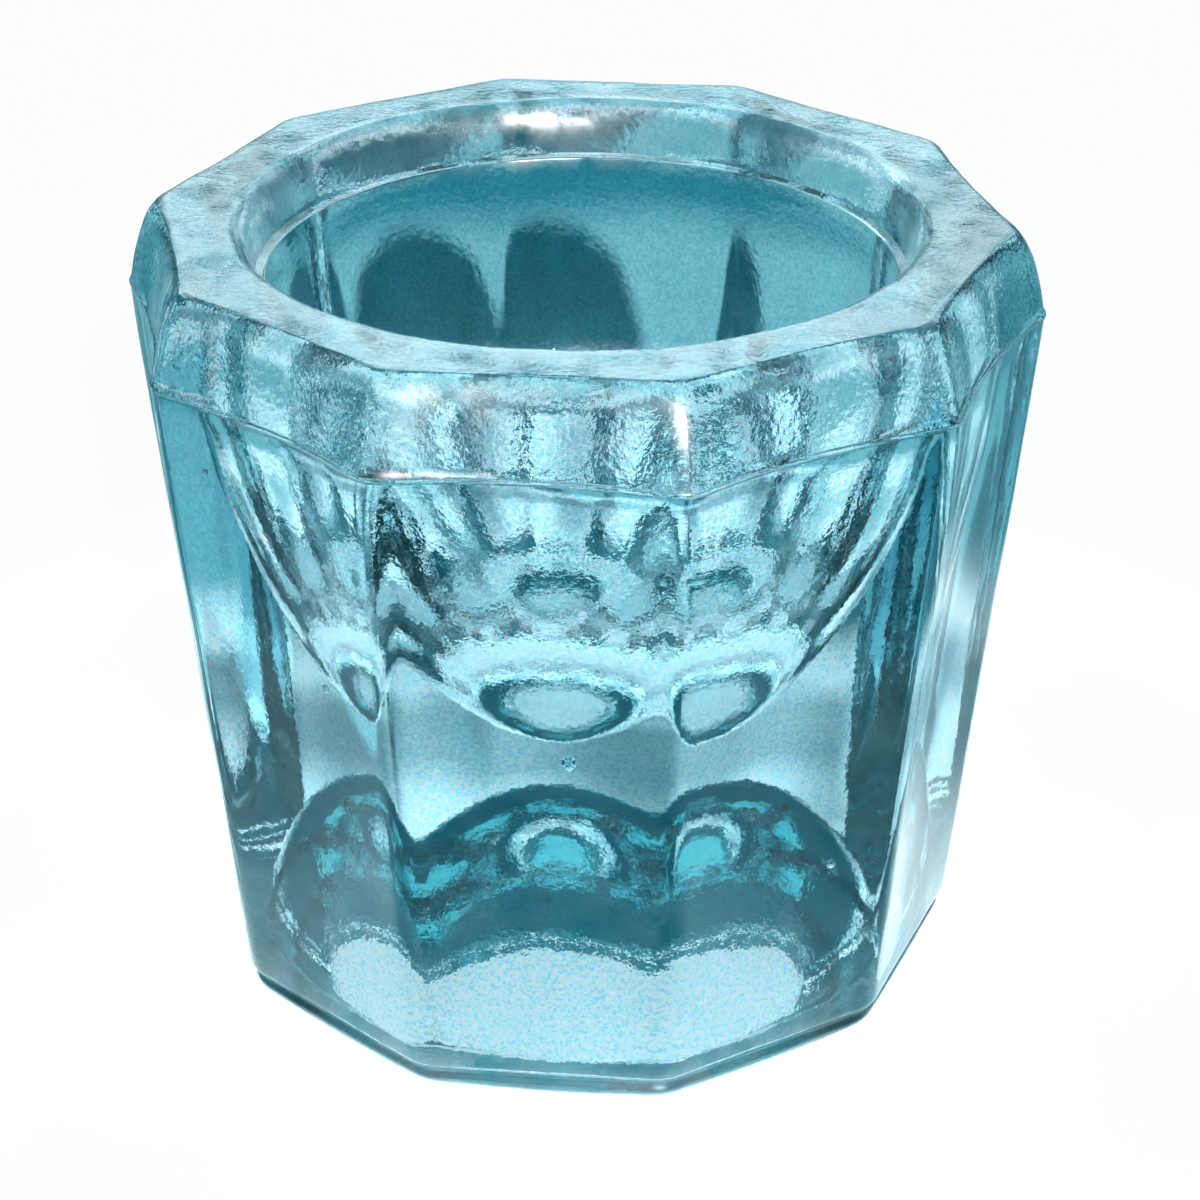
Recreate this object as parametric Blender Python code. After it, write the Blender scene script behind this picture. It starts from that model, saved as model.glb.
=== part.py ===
"""Dappen dish: one piece of pressed glass.

A ten-sided body that narrows towards the base, with a rounded rim, a round well in
the top, a domed recess under the base and a rounded heel.  Metres, +Z up.  The origin
is on the surface that the dish stands on, under its centre, and a flat panel faces -Y.
"""

from math import cos, pi, radians, sin

import bmesh
import bpy

# Overall sizes.
SHOULDER_RADIUS = 0.0190  # centre to a corner, where the body is widest
HEIGHT = 0.0328

# Side panels.
PANELS = 10
TAPER = 0.0026  # how much closer to the centre a corner is at the heel than at the shoulder
SHOULDER_HOLLOW = 0.0006  # depth of the hollow in the middle of a panel at the shoulder
HOLLOW_FADE_POWER = 3  # 1 fades the hollow evenly down to the heel, more keeps it further down
FOOT_CROWN = 0.0003  # bulge in the middle of a panel where it meets the foot

# Rounded rim, from the shoulder up to the flat top.
RIM_RISE = 0.0036
RIM_SETBACK = 0.0020
RIM_ARC_START = radians(30)  # the first part of the quarter arc is left off, so a crease shows
RIM_WIDTH = 0.00285  # flat top, from a corner to the lip

# Rounded lip, from the flat top down to the mouth of the well.
LIP_WIDTH = 0.0015
LIP_DROP = 0.0023

# Well and recess, with the web of glass between them.
RECESS_HEIGHT = 0.0095
WEB = 0.0031
WELL_SIDE_POWER = 1.25  # 1 makes the well an ellipse, less makes its side fuller
WELL_FLOOR_POWER = 0.91

# Heel and the flat foot inside it.
HEEL_HEIGHT = 0.0019
HEEL_WIDTH = 0.0012
FOOT_WIDTH = 0.0047  # from a corner of the foot to the mouth of the recess

# Mesh steps.
STEPS_PER_PANEL = 6
RECESS_STEPS = 9
HEEL_STEPS = 4
WALL_STEPS = 7
RIM_STEPS = 6
LIP_STEPS = 5
WELL_STEPS = 13

GLASS_COLOUR = (0.30, 0.66, 0.72, 1.0)


def remove_scene_objects():
    for item in list(bpy.data.objects):
        bpy.data.objects.remove(item, do_unlink=True)


def blend(start, end, share):
    return start + (end - start) * share


def quarter_turn(steps, first=0.0):
    """Angles from first to a right angle, in equal steps, with the first one left out."""
    return [blend(first, pi / 2, step / steps) for step in range(1, steps + 1)]


def panel_radius(angle, corner_radius, hollow):
    """Distance from the centre to a many-sided outline whose panels are hollowed."""
    half_panel = pi / PANELS
    off_middle = (angle + half_panel) % (2 * half_panel) - half_panel
    flat = corner_radius * cos(half_panel) / cos(off_middle)
    return flat - hollow * (1 - (off_middle / half_panel) ** 2)


def many_sided(height, corner_radius, hollow=0.0):
    """One level of the body, as its height and its radius at any angle."""
    return height, lambda angle: panel_radius(angle, corner_radius, hollow)


def circle(height, radius):
    return height, lambda angle: radius


def recess_levels(mouth_radius):
    """Dome under the base, from just below its top down to its mouth."""
    return [
        circle(RECESS_HEIGHT * cos(turn), mouth_radius * sin(turn))
        for turn in quarter_turn(RECESS_STEPS)
    ]


def heel_levels(foot_radius, heel_radius):
    levels = [many_sided(0.0, foot_radius, -FOOT_CROWN)]
    for turn in quarter_turn(HEEL_STEPS):
        height = HEEL_HEIGHT * (1 - cos(turn))
        radius = blend(foot_radius, heel_radius, sin(turn))
        levels.append(many_sided(height, radius, blend(-FOOT_CROWN, 0.0, sin(turn))))
    return levels


def wall_levels(heel_radius, shoulder_height):
    levels = []
    for step in range(1, WALL_STEPS + 1):
        share = step / WALL_STEPS
        height = blend(HEEL_HEIGHT, shoulder_height, share)
        radius = blend(heel_radius, SHOULDER_RADIUS, share)
        hollow = SHOULDER_HOLLOW * (1 - (1 - share) ** HOLLOW_FADE_POWER)
        levels.append(many_sided(height, radius, hollow))
    return levels


def rim_levels(rim_radius, shoulder_height):
    levels = []
    for turn in quarter_turn(RIM_STEPS, RIM_ARC_START):
        outward = cos(turn) / cos(RIM_ARC_START)
        upward = (sin(turn) - sin(RIM_ARC_START)) / (1 - sin(RIM_ARC_START))
        height = shoulder_height + RIM_RISE * upward
        radius = blend(rim_radius, SHOULDER_RADIUS, outward)
        levels.append(many_sided(height, radius, SHOULDER_HOLLOW * outward))
    return levels


def lip_levels(lip_radius):
    levels = [circle(HEIGHT, lip_radius)]
    for turn in quarter_turn(LIP_STEPS):
        height = HEIGHT - LIP_DROP * (1 - cos(turn))
        levels.append(circle(height, lip_radius - LIP_WIDTH * sin(turn)))
    return levels


def well_levels(mouth_radius, mouth_height, floor_height):
    """Bowl, from just below its mouth down to just above the middle of its floor."""
    levels = []
    for turn in quarter_turn(WELL_STEPS)[:-1]:
        height = blend(mouth_height, floor_height, sin(turn) ** WELL_FLOOR_POWER)
        levels.append(circle(height, mouth_radius * cos(turn) ** WELL_SIDE_POWER))
    return levels


def dish_levels():
    """All levels of the skin: out from the top of the recess, up, and down into the well."""
    shoulder_height = HEIGHT - RIM_RISE
    rim_radius = SHOULDER_RADIUS - RIM_SETBACK
    lip_radius = rim_radius - RIM_WIDTH
    heel_radius = SHOULDER_RADIUS - TAPER
    foot_radius = heel_radius - HEEL_WIDTH
    return (
        recess_levels(foot_radius - FOOT_WIDTH)
        + heel_levels(foot_radius, heel_radius)
        + wall_levels(heel_radius, shoulder_height)
        + rim_levels(rim_radius, shoulder_height)
        + lip_levels(lip_radius)
        + well_levels(lip_radius - LIP_WIDTH, HEIGHT - LIP_DROP, RECESS_HEIGHT + WEB)
    )


def add_ring(bm, level):
    height, radius_at = level
    corners = PANELS * STEPS_PER_PANEL
    ring = []
    for index in range(corners):
        angle = 2 * pi * index / corners
        radius = radius_at(angle)
        ring.append(bm.verts.new((radius * sin(angle), -radius * cos(angle), height)))
    return ring


def join_rings(bm, lower, upper):
    for index, start in enumerate(lower):
        after = (index + 1) % len(lower)
        bm.faces.new((start, upper[index], upper[after], lower[after]))


def close_ring(bm, ring, height):
    middle = bm.verts.new((0.0, 0.0, height))
    for index, start in enumerate(ring):
        bm.faces.new((start, ring[(index + 1) % len(ring)], middle))


def glass_material():
    material = bpy.data.materials.new("teal_glass")
    material.use_nodes = True
    shader = material.node_tree.nodes["Principled BSDF"]
    shader.inputs["Base Color"].default_value = GLASS_COLOUR
    shader.inputs["Metallic"].default_value = 0.0
    shader.inputs["Roughness"].default_value = 0.03
    shader.inputs["IOR"].default_value = 1.51
    shader.inputs["Transmission Weight"].default_value = 1.0
    material.diffuse_color = GLASS_COLOUR
    return material


def make_glass_dish():
    bm = bmesh.new()
    rings = [add_ring(bm, level) for level in dish_levels()]
    for lower, upper in zip(rings, rings[1:]):
        join_rings(bm, lower, upper)
    close_ring(bm, rings[0], RECESS_HEIGHT)
    close_ring(bm, rings[-1], RECESS_HEIGHT + WEB)
    bmesh.ops.recalc_face_normals(bm, faces=bm.faces)
    mesh = bpy.data.meshes.new("glass_dish")
    bm.to_mesh(mesh)
    bm.free()
    mesh.shade_smooth()
    mesh.set_sharp_from_angle(angle=radians(28))
    mesh.materials.append(glass_material())
    dish = bpy.data.objects.new("glass_dish", mesh)
    bpy.context.scene.collection.objects.link(dish)
    return dish


remove_scene_objects()
make_glass_dish()
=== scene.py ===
from math import cos, pi, radians, sin

import bmesh
import bpy
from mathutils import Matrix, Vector, noise


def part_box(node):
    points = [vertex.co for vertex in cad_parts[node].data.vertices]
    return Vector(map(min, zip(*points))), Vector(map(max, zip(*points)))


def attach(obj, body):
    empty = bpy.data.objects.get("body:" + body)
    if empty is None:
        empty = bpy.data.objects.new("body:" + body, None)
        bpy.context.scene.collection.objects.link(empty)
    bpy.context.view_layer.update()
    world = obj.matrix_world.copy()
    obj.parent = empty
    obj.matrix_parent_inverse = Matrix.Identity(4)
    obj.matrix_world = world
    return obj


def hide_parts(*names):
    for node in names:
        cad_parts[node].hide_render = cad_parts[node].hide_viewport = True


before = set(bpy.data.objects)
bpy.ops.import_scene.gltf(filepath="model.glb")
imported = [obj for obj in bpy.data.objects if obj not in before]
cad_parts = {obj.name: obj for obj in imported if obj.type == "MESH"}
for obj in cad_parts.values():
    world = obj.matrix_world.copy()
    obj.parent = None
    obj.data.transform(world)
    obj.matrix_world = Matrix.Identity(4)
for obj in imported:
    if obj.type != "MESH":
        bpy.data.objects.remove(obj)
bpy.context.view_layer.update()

dishLow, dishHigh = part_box("glass_dish")
scene = bpy.context.scene
mm = 0.001

# Sizes that a maker would change, in mm. The dish's width and height come from the frame.
dish = {
    "panels": 10,
    "taper": 2.6,  # a corner is this much nearer the centre at the heel
    "shoulderHollow": 0.6,
    "hollowFade": 3,  # more keeps the hollow further down the panel
    "footCrown": 0.3,
    "cornerSoftness": radians(2.0),
    "rimRise": 3.6,
    "rimSetback": 2.0,
    "rimArcStart": radians(30),
    "rimWidth": 2.85,
    "lipWidth": 1.5,
    "lipDrop": 2.3,
    "recessHeight": 9.5,
    "web": 3.1,
    "wellSidePower": 1.25,
    "wellFloorPower": 0.91,
    "heelHeight": 1.9,
    "heelWidth": 1.2,
    "footWidth": 4.7,
    "seamWidth": 0.34,  # mould seam that runs round the shoulder
    "seamHeight": 0.10,
    "creaseHeight": 1.05,  # shallow groove round the heel
    "creaseWidth": 0.22,
    "creaseDepth": 0.34,
    "ledge": 0.42,  # width of the small step where the lip meets the well
    "ledgeDrop": 0.21,
    "stepsPerPanel": 32,
    # rings of mesh along each stretch of the skin
    "steps": {
        "recess": 72,
        "heel": 26,
        "wall": 36,
        "seam": 8,
        "rim": 20,
        "top": 6,
        "lip": 16,
        "ledge": 4,
        "well": 60,
    },
    "sharpEdge": radians(50),
    # bubbles caught in the glass: where each one is, and its radius
    "bubbles": (
        ((0.9, -8.6, 14.2), 0.34),
        ((-7.6, -11.2, 17.4), 0.20),
        ((10.4, -8.2, 8.6), 0.24),
        ((4.9, -13.4, 24.2), 0.16),
        ((-11.8, 7.4, 21.0), 0.22),
    ),
}

# How each stretch of the skin was left by the mould: depth in mm of its broad ripples and of
# its fine peel, how hazy and how pitted it is, and how much soft bloom it has from handling.
finish = {
    "recess": {"ripple": 0.17, "peel": 0.03, "haze": 0.0, "pits": 0.35, "bloom": 0.0},
    "foot": {"ripple": 0.0, "peel": 0.0, "haze": 0.3, "pits": 0.6, "bloom": 0.0},
    "heel": {"ripple": 0.10, "peel": 0.02, "haze": 0.0, "pits": 0.4, "bloom": 0.3},
    "wall": {"ripple": 0.07, "peel": 0.0, "haze": 0.0, "pits": 0.08, "bloom": 0.1},
    "rim": {"ripple": 0.18, "peel": 0.03, "haze": 0.0, "pits": 0.6, "bloom": 1.0},
    "well": {"ripple": 0.07, "peel": 0.004, "haze": 0.02, "pits": 0.25, "bloom": 0.0},
    "bubble": {"ripple": 0.0, "peel": 0.0, "haze": 0.0, "pits": 0.0, "bloom": 0.0},
}

# Ripples are made of broad and middle waves, peel of fine ones: width in mm, share of the depth.
waves = {
    "broad": (5.5, 0.45),
    "middle": (2.0, 0.18),
    "fine": (0.75, 0.5),
}


def mix(start, end, share):
    return start + (end - start) * share


def quarterTurn(steps, first=0.0):
    return [mix(first, pi / 2, step / steps) for step in range(1, steps + 1)]


def sharpRadius(angle, cornerRadius, hollow):
    halfPanel = pi / dish["panels"]
    offMiddle = (angle + halfPanel) % (2 * halfPanel) - halfPanel
    flat = cornerRadius * cos(halfPanel) / cos(offMiddle)
    return flat - hollow * (1 - (offMiddle / halfPanel) ** 2)


def panelRadius(angle, cornerRadius, hollow):
    # averaging over a narrow window rounds the corners, as fire polishing does
    reach = 4
    total = 0.0
    for step in range(-reach, reach + 1):
        total += sharpRadius(angle + dish["cornerSoftness"] * step / reach, cornerRadius, hollow)
    return total / (2 * reach + 1)


def manySided(stretch, height, cornerRadius, hollow=0.0):
    return stretch, height, lambda angle: panelRadius(angle, cornerRadius, hollow)


def circle(stretch, height, radius):
    return stretch, height, lambda angle: radius


def recessLevels(mouthRadius):
    return [
        circle("recess", dish["recessHeight"] * cos(turn), mouthRadius * sin(turn))
        for turn in quarterTurn(dish["steps"]["recess"])[:-1]
    ] + [circle("foot", 0.0, mouthRadius)]


def heelLevels(footRadius, heelRadius):
    # rounded foot bead, a crease above it, then a fillet into the panels
    levels = [manySided("foot", 0.0, footRadius, -dish["footCrown"])]
    for turn in quarterTurn(dish["steps"]["heel"]):
        height = dish["heelHeight"] * (1 - cos(turn))
        radius = mix(footRadius, heelRadius, sin(turn))
        fromCrease = (height - dish["creaseHeight"]) / dish["creaseWidth"]
        radius -= dish["creaseDepth"] / (1 + fromCrease ** 4)
        levels.append(manySided("heel", height, radius, mix(-dish["footCrown"], 0.0, sin(turn))))
    return levels


def wallLevels(heelRadius, shoulderRadius, shoulderHeight):
    # panels up to the mould seam
    levels = []
    top = shoulderHeight - dish["seamWidth"]
    steps = dish["steps"]["wall"]
    for step in range(1, steps + 1):
        share = step / steps * (top - dish["heelHeight"]) / (shoulderHeight - dish["heelHeight"])
        hollow = dish["shoulderHollow"] * (1 - (1 - share) ** dish["hollowFade"])
        height = mix(dish["heelHeight"], shoulderHeight, share)
        radius = mix(heelRadius, shoulderRadius, share) - dish["seamHeight"] * share ** 12
        levels.append(manySided("wall", height, radius, hollow))
    return levels


def seamLevels(shoulderRadius, shoulderHeight):
    # half-round bead, sunk so that it stands no further out than the shoulder
    levels = []
    steps = dish["steps"]["seam"]
    for step in range(1, steps):
        turn = pi * step / steps
        height = shoulderHeight - dish["seamWidth"] * (1 + cos(turn)) / 2
        radius = shoulderRadius - dish["seamHeight"] * (1 - sin(turn))
        levels.append(manySided("rim", height, radius, dish["shoulderHollow"]))
    return levels


def rimLevels(rimRadius, shoulderRadius, shoulderHeight):
    levels = []
    start = dish["rimArcStart"]
    outerRadius = shoulderRadius - dish["seamHeight"]
    for turn in [start] + quarterTurn(dish["steps"]["rim"], start):
        outward = cos(turn) / cos(start)
        upward = (sin(turn) - sin(start)) / (1 - sin(start))
        height = shoulderHeight + dish["rimRise"] * upward
        radius = mix(rimRadius, outerRadius, outward)
        levels.append(manySided("rim", height, radius, dish["shoulderHollow"] * outward))
    return levels


def topLevels(rimRadius, lipRadius, totalHeight):
    # the many-sided outline turns round by the lip
    levels = []
    steps = dish["steps"]["top"]
    for step in range(1, steps + 1):
        share = step / steps
        levels.append((
            "rim",
            totalHeight,
            lambda angle, share=share: mix(panelRadius(angle, rimRadius, 0.0), lipRadius, share),
        ))
    return levels


def lipLevels(lipRadius, mouthRadius, totalHeight):
    levels = []
    for turn in quarterTurn(dish["steps"]["lip"]):
        height = totalHeight - dish["lipDrop"] * (1 - cos(turn))
        levels.append(circle("rim", height, mix(lipRadius, mouthRadius + dish["ledge"], sin(turn))))
    for turn in quarterTurn(dish["steps"]["ledge"]):
        height = totalHeight - dish["lipDrop"] - dish["ledgeDrop"] * (1 - cos(turn))
        levels.append(circle("rim", height, mouthRadius + dish["ledge"] * (1 - sin(turn))))
    return levels


def wellLevels(mouthRadius, mouthHeight, floorHeight):
    levels = []
    for turn in quarterTurn(dish["steps"]["well"])[:-1]:
        height = mix(mouthHeight, floorHeight, sin(turn) ** dish["wellFloorPower"])
        levels.append(circle("well", height, mouthRadius * cos(turn) ** dish["wellSidePower"]))
    return levels


def dishLevels(shoulderRadius, totalHeight):
    # the skin, from the top of the recess out, up the wall, over the rim and down the well
    shoulderHeight = totalHeight - dish["rimRise"]
    rimRadius = shoulderRadius - dish["rimSetback"]
    lipRadius = rimRadius - dish["rimWidth"]
    mouthRadius = lipRadius - dish["lipWidth"]
    heelRadius = shoulderRadius - dish["taper"]
    footRadius = heelRadius - dish["heelWidth"]
    return (
        recessLevels(footRadius - dish["footWidth"])
        + heelLevels(footRadius, heelRadius)
        + wallLevels(heelRadius, shoulderRadius, shoulderHeight)
        + seamLevels(shoulderRadius, shoulderHeight)
        + rimLevels(rimRadius, shoulderRadius, shoulderHeight)
        + topLevels(rimRadius, lipRadius, totalHeight)
        + lipLevels(lipRadius, mouthRadius, totalHeight)
        + wellLevels(
            mouthRadius,
            totalHeight - dish["lipDrop"] - dish["ledgeDrop"],
            dish["recessHeight"] + dish["web"],
        )
    )


def ringAngles():
    # closer together at the corners, where the skin turns
    halfPanel = pi / dish["panels"]
    steps = dish["stepsPerPanel"]
    angles = []
    for panel in range(dish["panels"]):
        for step in range(steps):
            angles.append(2 * halfPanel * panel + halfPanel * sin(pi / 2 * (2 * step / steps - 1)))
    return angles


def waveAt(place, kind):
    width, share = waves[kind]
    return share * noise.noise(place / (width * mm))


def moveInward(place, marks):
    # how far a point of the skin lies inside the plain shape, never less than nothing
    ripple = min(max(0.5 + waveAt(place, "broad") + waveAt(place, "middle"), 0.0), 1.0)
    peel = max(0.5 + waveAt(place, "fine"), 0.0)
    return mm * (marks["ripple"] * ripple + marks["peel"] * peel)


def addRing(bm, angles, height, radiusAt):
    ring = []
    for angle in angles:
        radius = radiusAt(angle) * mm
        ring.append(bm.verts.new((radius * sin(angle), -radius * cos(angle), height * mm)))
    return ring


def closeRing(bm, ring, height):
    middle = bm.verts.new((0, 0, height * mm))
    for index, start in enumerate(ring):
        bm.faces.new((start, ring[(index + 1) % len(ring)], middle))


def addBubble(bm, place, radius):
    # closed shell that faces into itself, as the skin of a hole in the glass does
    middle = Vector(place) * mm
    made = bmesh.ops.create_icosphere(bm, subdivisions=3, radius=radius * mm)["verts"]
    for vert in made:
        vert.co += middle
    faces = {face for vert in made for face in vert.link_faces}
    bmesh.ops.reverse_faces(bm, faces=list(faces))
    return len(made)


def makeGlassDish():
    shoulderRadius = (dishHigh.x - dishLow.x) / 2 / mm
    totalHeight = (dishHigh.z - dishLow.z) / mm
    angles = ringAngles()
    count = len(angles)
    bm = bmesh.new()
    rings = []
    stretches = []
    for stretch, height, radiusAt in dishLevels(shoulderRadius, totalHeight):
        rings.append(addRing(bm, angles, height, radiusAt))
        stretches += [stretch] * count
    for lower, upper in zip(rings, rings[1:]):
        for index in range(count):
            after = (index + 1) % count
            bm.faces.new((lower[index], upper[index], upper[after], lower[after]))
    closeRing(bm, rings[0], dish["recessHeight"])
    closeRing(bm, rings[-1], dish["recessHeight"] + dish["web"])
    stretches += ["recess", "well"]
    bmesh.ops.recalc_face_normals(bm, faces=bm.faces)
    bm.normal_update()
    moves = [
        vert.normal * moveInward(vert.co, finish[stretch])
        for vert, stretch in zip(bm.verts, stretches)
    ]
    for vert, move in zip(bm.verts, moves):
        vert.co -= move
    for place, radius in dish["bubbles"]:
        stretches += ["bubble"] * addBubble(bm, place, radius)
    mesh = bpy.data.meshes.new("pressedDish")
    bm.to_mesh(mesh)
    bm.free()
    for key in ("haze", "pits", "bloom"):
        values = mesh.attributes.new(key, "FLOAT", "POINT")
        values.data.foreach_set("value", [finish[stretch][key] for stretch in stretches])
    mesh.shade_smooth()
    mesh.set_sharp_from_angle(angle=dish["sharpEdge"])
    piece = bpy.data.objects.new("pressedDish", mesh)
    scene.collection.objects.link(piece)
    return piece


glass = {
    "ior": 1.51,
    "shineTint": (0.1, 0.85, 1.0),
    "absorbColour": (0.28, 0.70, 0.77),  # the glass takes out of light what this lacks of white
    "absorbDensity": 29,
    "reliefDepth": 0.1,  # mm, as all the sizes here are
    "waveSize": 2.6,
    "waveStrength": 0.25,
    "pitSize": 0.28,
    "pitStrength": 0.5,
    "grainSize": 0.16,
    "grainColour": (0.45, 0.80, 0.88),
    "hazeSize": 3.0,
    "bloomRoughness": 0.34,  # soft shine of handled glass, strongest on the rim
    "bloomSize": 1.5,
    "bloomIor": 2.2,
}


def makeGroup(name, inputs, outputs):
    group = bpy.data.node_groups.new(name, "ShaderNodeTree")
    for label, kind, value in inputs:
        socket = group.interface.new_socket(label, in_out="INPUT", socket_type=kind)
        if value is not None:
            socket.default_value = value
    for label, kind in outputs:
        group.interface.new_socket(label, in_out="OUTPUT", socket_type=kind)
    return group, group.nodes.new("NodeGroupInput"), group.nodes.new("NodeGroupOutput")


def addNoise(tree, sizeSocket, detail):
    # noise whose blotches are about as wide as the size, in mm
    place = tree.nodes.new("ShaderNodeTexCoord")
    perSize = tree.nodes.new("ShaderNodeMath")
    perSize.operation = "DIVIDE"
    perSize.inputs[0].default_value = 1 / mm
    pattern = tree.nodes.new("ShaderNodeTexNoise")
    pattern.inputs["Detail"].default_value = detail
    tree.links.new(sizeSocket, perSize.inputs[1])
    tree.links.new(place.outputs["Object"], pattern.inputs["Vector"])
    tree.links.new(perSize.outputs[0], pattern.inputs["Scale"])
    return pattern.outputs["Fac"]


def addSteepNoise(tree, sizeSocket, detail, low, high):
    # noise with plain areas at both ends and a short slope between them
    steep = tree.nodes.new("ShaderNodeMapRange")
    steep.inputs["From Min"].default_value = low
    steep.inputs["From Max"].default_value = high
    tree.links.new(addNoise(tree, sizeSocket, detail), steep.inputs["Value"])
    return steep.outputs["Result"]


def addMath(tree, operation, *values):
    node = tree.nodes.new("ShaderNodeMath")
    node.operation = operation
    for socket, value in zip(node.inputs, values):
        if isinstance(value, (int, float)):
            socket.default_value = value
        else:
            tree.links.new(value, socket)
    return node.outputs[0]


def makeMouldSkinGroup():
    # height of the fine relief that an iron mould leaves: broad waves and sharp pits
    group, given, result = makeGroup(
        "mouldSkin",
        [
            ("Wave Size", "NodeSocketFloat", 2.5),
            ("Wave Share", "NodeSocketFloat", 0.5),
            ("Pit Size", "NodeSocketFloat", 0.3),
            ("Pit Share", "NodeSocketFloat", 0.5),
        ],
        [("Height", "NodeSocketFloat")],
    )
    waveNoise = addNoise(group, given.outputs["Wave Size"], 1)
    pitNoise = addNoise(group, given.outputs["Pit Size"], 2)
    waveHeight = addMath(group, "MULTIPLY", waveNoise, given.outputs["Wave Share"])
    pitHeight = addMath(group, "MULTIPLY", pitNoise, given.outputs["Pit Share"])
    group.links.new(addMath(group, "ADD", waveHeight, pitHeight), result.inputs["Height"])
    return group


def makeHazeGroup():
    # roughness that comes and goes in blotches
    group, given, result = makeGroup(
        "handledHaze",
        [("Blotch Size", "NodeSocketFloat", 3.0), ("Haze", "NodeSocketFloat", 0.1)],
        [("Roughness", "NodeSocketFloat")],
    )
    blotches = addNoise(group, given.outputs["Blotch Size"], 3)
    share = addMath(group, "ADD", blotches, 0.35)
    roughness = addMath(group, "MULTIPLY", share, given.outputs["Haze"])
    group.links.new(roughness, result.inputs["Roughness"])
    return group


def makeBloomGroup():
    # worn patches that catch the light, with clear glass between them
    group, given, result = makeGroup(
        "handledBloom",
        [("Patch Size", "NodeSocketFloat", 1.5), ("Bloom", "NodeSocketFloat", 0.5)],
        [("Weight", "NodeSocketFloat")],
    )
    patches = addSteepNoise(group, given.outputs["Patch Size"], 8, 0.34, 0.55)
    weight = addMath(group, "MULTIPLY", patches, given.outputs["Bloom"])
    group.links.new(weight, result.inputs["Weight"])
    return group


def makeGrainGroup():
    # fine specks in the surface, between clear and a tint
    group, given, result = makeGroup(
        "glassGrain",
        [
            ("Grain Size", "NodeSocketFloat", 0.15),
            ("Clear", "NodeSocketColor", (1, 1, 1, 1)),
            ("Speck", "NodeSocketColor", (0.7, 0.9, 0.95, 1)),
        ],
        [("Color", "NodeSocketColor")],
    )
    grain = addSteepNoise(group, given.outputs["Grain Size"], 2, 0.42, 0.62)
    blend = group.nodes.new("ShaderNodeMix")
    blend.data_type = "RGBA"
    group.links.new(grain, blend.inputs["Factor"])
    group.links.new(given.outputs["Clear"], blend.inputs["A"])
    group.links.new(given.outputs["Speck"], blend.inputs["B"])
    group.links.new(blend.outputs["Result"], result.inputs["Color"])
    return group


def placeGroup(tree, group, values):
    node = tree.nodes.new("ShaderNodeGroup")
    node.node_tree = group
    for label, value in values.items():
        node.inputs[label].default_value = value
    return node


def readAttribute(tree, name):
    node = tree.nodes.new("ShaderNodeAttribute")
    node.attribute_name = name
    return node.outputs["Fac"]


def makeGlassMaterial():
    material = bpy.data.materials.new("tealPressedGlass")
    material.use_nodes = True
    tree = material.node_tree
    nodes, links = tree.nodes, tree.links
    shader = nodes["Principled BSDF"]
    shader.inputs["IOR"].default_value = glass["ior"]
    shader.inputs["Transmission Weight"].default_value = 1
    shader.inputs["Specular Tint"].default_value = (*glass["shineTint"], 1)

    grain = placeGroup(tree, makeGrainGroup(), {
        "Grain Size": glass["grainSize"],
        "Speck": (*glass["grainColour"], 1),
    })
    links.new(grain.outputs["Color"], shader.inputs["Base Color"])

    haze = placeGroup(tree, makeHazeGroup(), {"Blotch Size": glass["hazeSize"]})
    links.new(readAttribute(tree, "haze"), haze.inputs["Haze"])
    links.new(haze.outputs["Roughness"], shader.inputs["Roughness"])

    bloom = placeGroup(tree, makeBloomGroup(), {"Patch Size": glass["bloomSize"]})
    links.new(readAttribute(tree, "bloom"), bloom.inputs["Bloom"])
    links.new(bloom.outputs["Weight"], shader.inputs["Coat Weight"])
    shader.inputs["Coat Roughness"].default_value = glass["bloomRoughness"]
    shader.inputs["Coat IOR"].default_value = glass["bloomIor"]

    skin = placeGroup(tree, makeMouldSkinGroup(), {
        "Wave Size": glass["waveSize"],
        "Wave Share": glass["waveStrength"],
        "Pit Size": glass["pitSize"],
    })
    pitShare = addMath(tree, "MULTIPLY", readAttribute(tree, "pits"), glass["pitStrength"])
    links.new(pitShare, skin.inputs["Pit Share"])
    bump = nodes.new("ShaderNodeBump")
    bump.inputs["Distance"].default_value = glass["reliefDepth"] * mm
    links.new(skin.outputs["Height"], bump.inputs["Height"])
    links.new(bump.outputs["Normal"], shader.inputs["Normal"])

    absorb = nodes.new("ShaderNodeVolumeAbsorption")
    absorb.inputs["Color"].default_value = (*glass["absorbColour"], 1)
    absorb.inputs["Density"].default_value = glass["absorbDensity"]
    links.new(absorb.outputs["Volume"], nodes["Material Output"].inputs["Volume"])
    return material


piece = makeGlassDish()
piece.data.materials.append(makeGlassMaterial())
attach(piece, "root")
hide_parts("glass_dish")
print("dish made")

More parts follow.
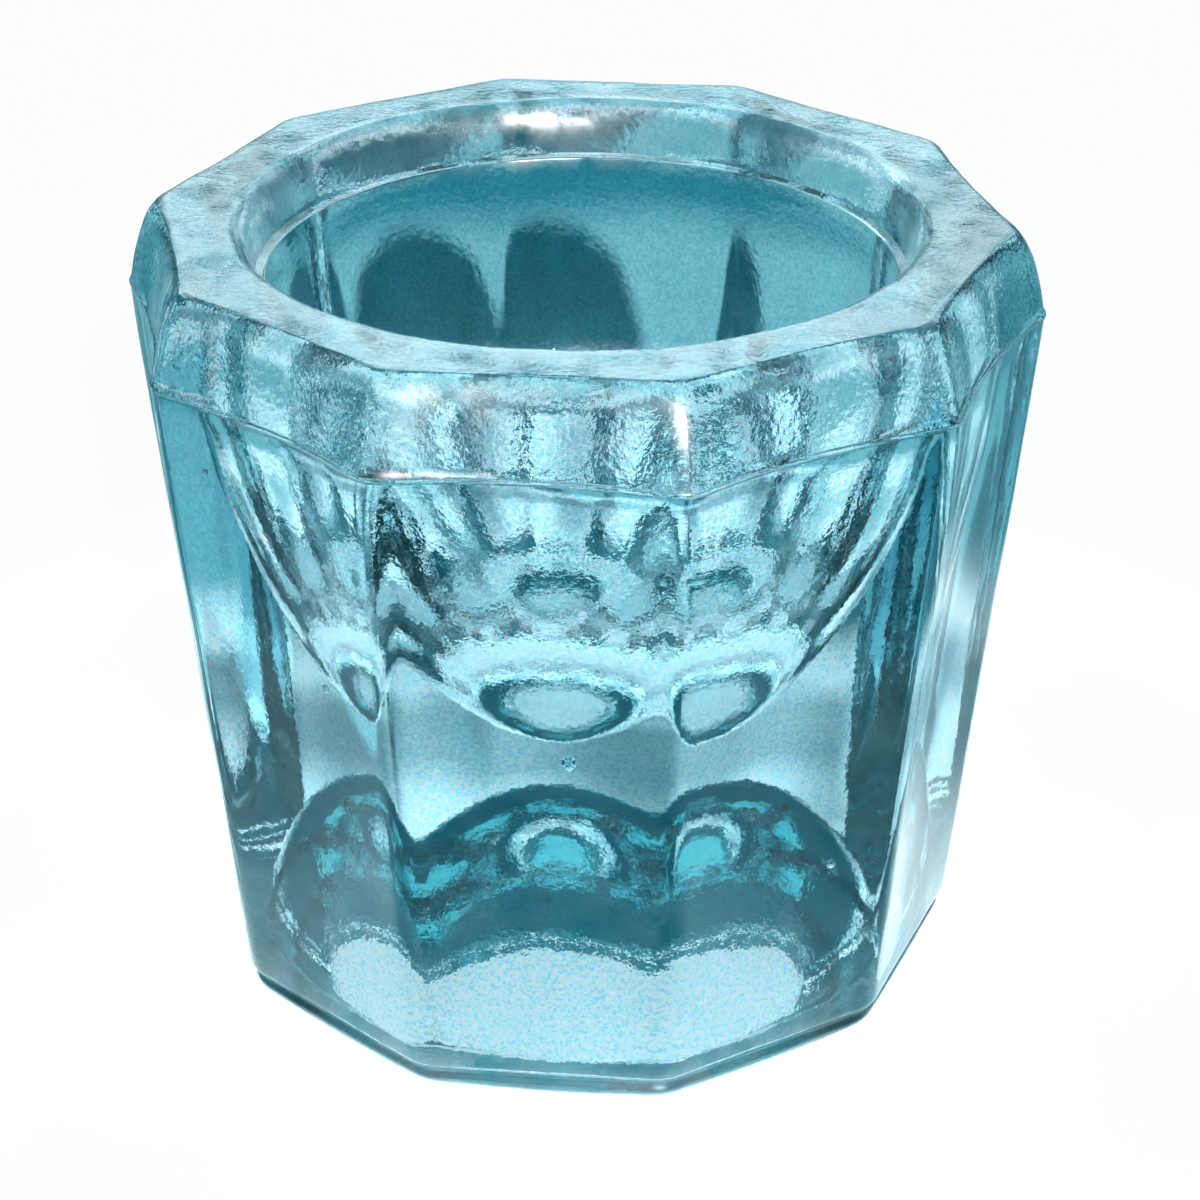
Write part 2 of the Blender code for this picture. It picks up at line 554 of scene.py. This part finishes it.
studio = {
    "roomColour": (0.004, 0.07, 0.10),  # what the glass sees
    "fillColour": (0.002, 0.07, 0.095),  # what lights the shaded floor
    "backdropColour": (0.95, 0.96, 0.96),
    "sweepShare": 0.97,  # how far the floor is lit out to white, as the paper in a light tent is
    "paintedGlowColour": (1.0, 0.97, 0.98),
    # painted glow on the floor, an emission that stands in for the light that the glass gathers
    # there: distance from the centre in mm, and strength
    "paintedGlow": (
        (0, 0.5), (11, 0.5), (12.5, 1.05), (15.2, 1.05), (17, 1.5), (23, 1.25),
        (27, 0.52), (33, 0.52), (37, 0.95), (41, 0.6), (47, 0),
    ),
    "paintedGlowRays": 7,  # the painted glow near the dish is gathered into this many painted bright spokes
    "paintedRayTurn": radians(8),
    "paintedRayDepth": ((0, 0), (15, 0), (20, 0.66), (33, 0.66), (38, 0)),
    # floor colour that the glass sees, pale near the dish and deeper further off
    "floor": ((0, (0.32, 0.74, 0.82)), (76, (0.32, 0.74, 0.82)), (96, (0.02, 0.30, 0.39))),
    "floorWidth": 6,  # this and the sizes below are in metres
    "floorDrop": 0.00005,
    "lightTarget": 0.02,  # height that the lamps point at
    "flash": {
        "azimuth": radians(19.5),
        "elevation": radians(26.8),
        "distance": 1.4,
        "width": 0.09,
        "power": 30,
        "colour": (1, 1, 1),
    },
    "overhead": {
        "azimuth": 0,
        "elevation": radians(90),
        "distance": 0.6,
        "width": 1.0,
        "power": 1.7,
        "colour": (0.2, 0.9, 1.0),
    },
    # strip close behind the dish, which shines only on the rim
    "rimLight": {
        "azimuth": radians(185.9),
        "elevation": 0,
        "distance": 0.068,
        "width": 0.15,
        "power": 0.033,
        "colour": (0.8, 0.96, 1.0),
    },
    "stripHeight": 0.070,
    "stripDepth": 0.034,
    "rimHeight": 0.032,
}


def addRadialRamp(tree, stops):
    # colour that depends on the distance from the centre in mm
    reach = stops[-1][0]
    place = tree.nodes.new("ShaderNodeTexCoord")
    length = tree.nodes.new("ShaderNodeVectorMath")
    length.operation = "LENGTH"
    tree.links.new(place.outputs["Object"], length.inputs[0])
    ramp = tree.nodes.new("ShaderNodeValToRGB")
    points = ramp.color_ramp.elements
    while len(points) < len(stops):
        points.new(1.0)
    for point, (radius, colour) in zip(points, stops):
        point.position = radius / reach
        point.color = (*colour, 1)
    share = addMath(tree, "DIVIDE", length.outputs["Value"], reach * mm)
    tree.links.new(share, ramp.inputs["Fac"])
    return ramp.outputs["Color"]


def addPaintedRays(tree):
    # share of the painted glow at each place: all of it on a painted spoke of light, less between
    # the spokes
    place = tree.nodes.new("ShaderNodeTexCoord")
    parts = tree.nodes.new("ShaderNodeSeparateXYZ")
    tree.links.new(place.outputs["Object"], parts.inputs[0])
    azimuth = addMath(tree, "ARCTAN2", parts.outputs["X"], parts.outputs["Y"])
    turn = addMath(tree, "SUBTRACT", azimuth, studio["paintedRayTurn"])
    wave = addMath(tree, "COSINE", addMath(tree, "MULTIPLY", turn, studio["paintedGlowRays"]))
    between = addMath(tree, "MULTIPLY", addMath(tree, "ADD", wave, 1), 0.5)
    depth = addRadialRamp(tree, [(radius, [share] * 3) for radius, share in studio["paintedRayDepth"]])
    return addMath(tree, "SUBTRACT", 1, addMath(tree, "MULTIPLY", between, depth))


def makeFloor():
    bpy.ops.mesh.primitive_plane_add(
        size=studio["floorWidth"],
        location=(0, 0, -studio["floorDrop"]),
    )
    floor = bpy.context.object
    floor.name = "paleFloor"
    material = bpy.data.materials.new("palePaperWithPaintedGlow")
    material.use_nodes = True
    tree = material.node_tree
    shader = tree.nodes["Principled BSDF"]
    shader.inputs["Roughness"].default_value = 0.9
    tree.links.new(addRadialRamp(tree, studio["floor"]), shader.inputs["Base Color"])
    # the floor's emission paints a pool of light round and under the dish, in place of light
    # gathered by the glass
    brightestPaintedGlow = max(strength for radius, strength in studio["paintedGlow"])
    stops = [
        (radius, [channel * strength / brightestPaintedGlow for channel in studio["paintedGlowColour"]])
        for radius, strength in studio["paintedGlow"]
    ]
    paintedGlowRays = tree.nodes.new("ShaderNodeVectorMath")
    paintedGlowRays.operation = "SCALE"
    tree.links.new(addRadialRamp(tree, stops), paintedGlowRays.inputs[0])
    tree.links.new(addPaintedRays(tree), paintedGlowRays.inputs["Scale"])
    tree.links.new(paintedGlowRays.outputs["Vector"], shader.inputs["Emission Color"])
    shader.inputs["Emission Strength"].default_value = brightestPaintedGlow
    white = tree.nodes.new("ShaderNodeEmission")
    path = tree.nodes.new("ShaderNodeLightPath")
    blend = tree.nodes.new("ShaderNodeMixShader")
    share = addMath(tree, "MULTIPLY", path.outputs["Is Camera Ray"], studio["sweepShare"])
    tree.links.new(share, blend.inputs["Fac"])
    tree.links.new(shader.outputs["BSDF"], blend.inputs[1])
    tree.links.new(white.outputs["Emission"], blend.inputs[2])
    tree.links.new(blend.outputs["Shader"], tree.nodes["Material Output"].inputs["Surface"])
    floor.data.materials.append(material)


def makeRoom():
    world = bpy.data.worlds.new("studioRoom")
    scene.world = world
    world.use_nodes = True
    nodes, links = world.node_tree.nodes, world.node_tree.links
    room = nodes["Background"]
    room.inputs["Color"].default_value = (*studio["roomColour"], 1)
    backdrop = nodes.new("ShaderNodeBackground")
    backdrop.inputs["Color"].default_value = (*studio["backdropColour"], 1)
    fill = nodes.new("ShaderNodeBackground")
    fill.inputs["Color"].default_value = (*studio["fillColour"], 1)
    path = nodes.new("ShaderNodeLightPath")
    chosen = room.outputs["Background"]
    for ray, other in (("Is Diffuse Ray", fill), ("Is Camera Ray", backdrop)):
        choose = nodes.new("ShaderNodeMixShader")
        links.new(path.outputs[ray], choose.inputs["Fac"])
        links.new(chosen, choose.inputs[1])
        links.new(other.outputs["Background"], choose.inputs[2])
        chosen = choose.outputs["Shader"]
    links.new(chosen, nodes["World Output"].inputs["Surface"])


def makeLight(name):
    values = studio[name]
    light = bpy.data.lights.new(name, "AREA")
    light.shape = "DISK"
    light.size = values["width"]
    light.energy = values["power"]
    light.color = values["colour"]
    lamp = bpy.data.objects.new(name, light)
    towards = Vector((
        sin(values["azimuth"]) * cos(values["elevation"]),
        -cos(values["azimuth"]) * cos(values["elevation"]),
        sin(values["elevation"]),
    ))
    lamp.location = Vector((0, 0, studio["lightTarget"])) + towards * values["distance"]
    lamp.rotation_euler = (-towards).to_track_quat("-Z", "Y").to_euler()
    scene.collection.objects.link(lamp)
    return lamp


def makeRimStrip():
    strip = makeLight("rimLight")
    strip.data.shape = "RECTANGLE"
    strip.data.size_y = studio["stripDepth"]
    strip.location.z = studio["stripHeight"]
    towards = strip.location - Vector((0, 0, studio["rimHeight"]))
    strip.rotation_euler = towards.to_track_quat("Z", "Y").to_euler()
    strip.visible_camera = False
    strip.visible_diffuse = False
    strip.visible_transmission = False


makeFloor()
makeRoom()
makeLight("flash")
overhead = makeLight("overhead")
overhead.visible_diffuse = False  # so it fills no shadow on the floor
makeRimStrip()
print("stage made")

view = {
    "azimuth": radians(5.89),
    "elevation": radians(28.54),
    "distance": 0.1235,
    "aimRight": 0.00076,
    "aimHeight": 0.01493,
    "lens": 86.1,
    "sensorWidth": 36,
    "nearest": 0.005,
}


def makeCamera():
    back = Vector((
        sin(view["azimuth"]) * cos(view["elevation"]),
        -cos(view["azimuth"]) * cos(view["elevation"]),
        sin(view["elevation"]),
    ))
    right = Vector((cos(view["azimuth"]), sin(view["azimuth"]), 0))
    aim = right * view["aimRight"] + Vector((0, 0, view["aimHeight"]))
    data = bpy.data.cameras.new("camera")
    data.lens = view["lens"]
    data.sensor_width = view["sensorWidth"]
    data.clip_start = view["nearest"]
    camera = bpy.data.objects.new("camera", data)
    camera.location = aim + back * view["distance"]
    camera.rotation_euler = (-back).to_track_quat("-Z", "Y").to_euler()
    scene.collection.objects.link(camera)
    scene.camera = camera


makeCamera()
scene.view_settings.view_transform = "Standard"
print("camera made")
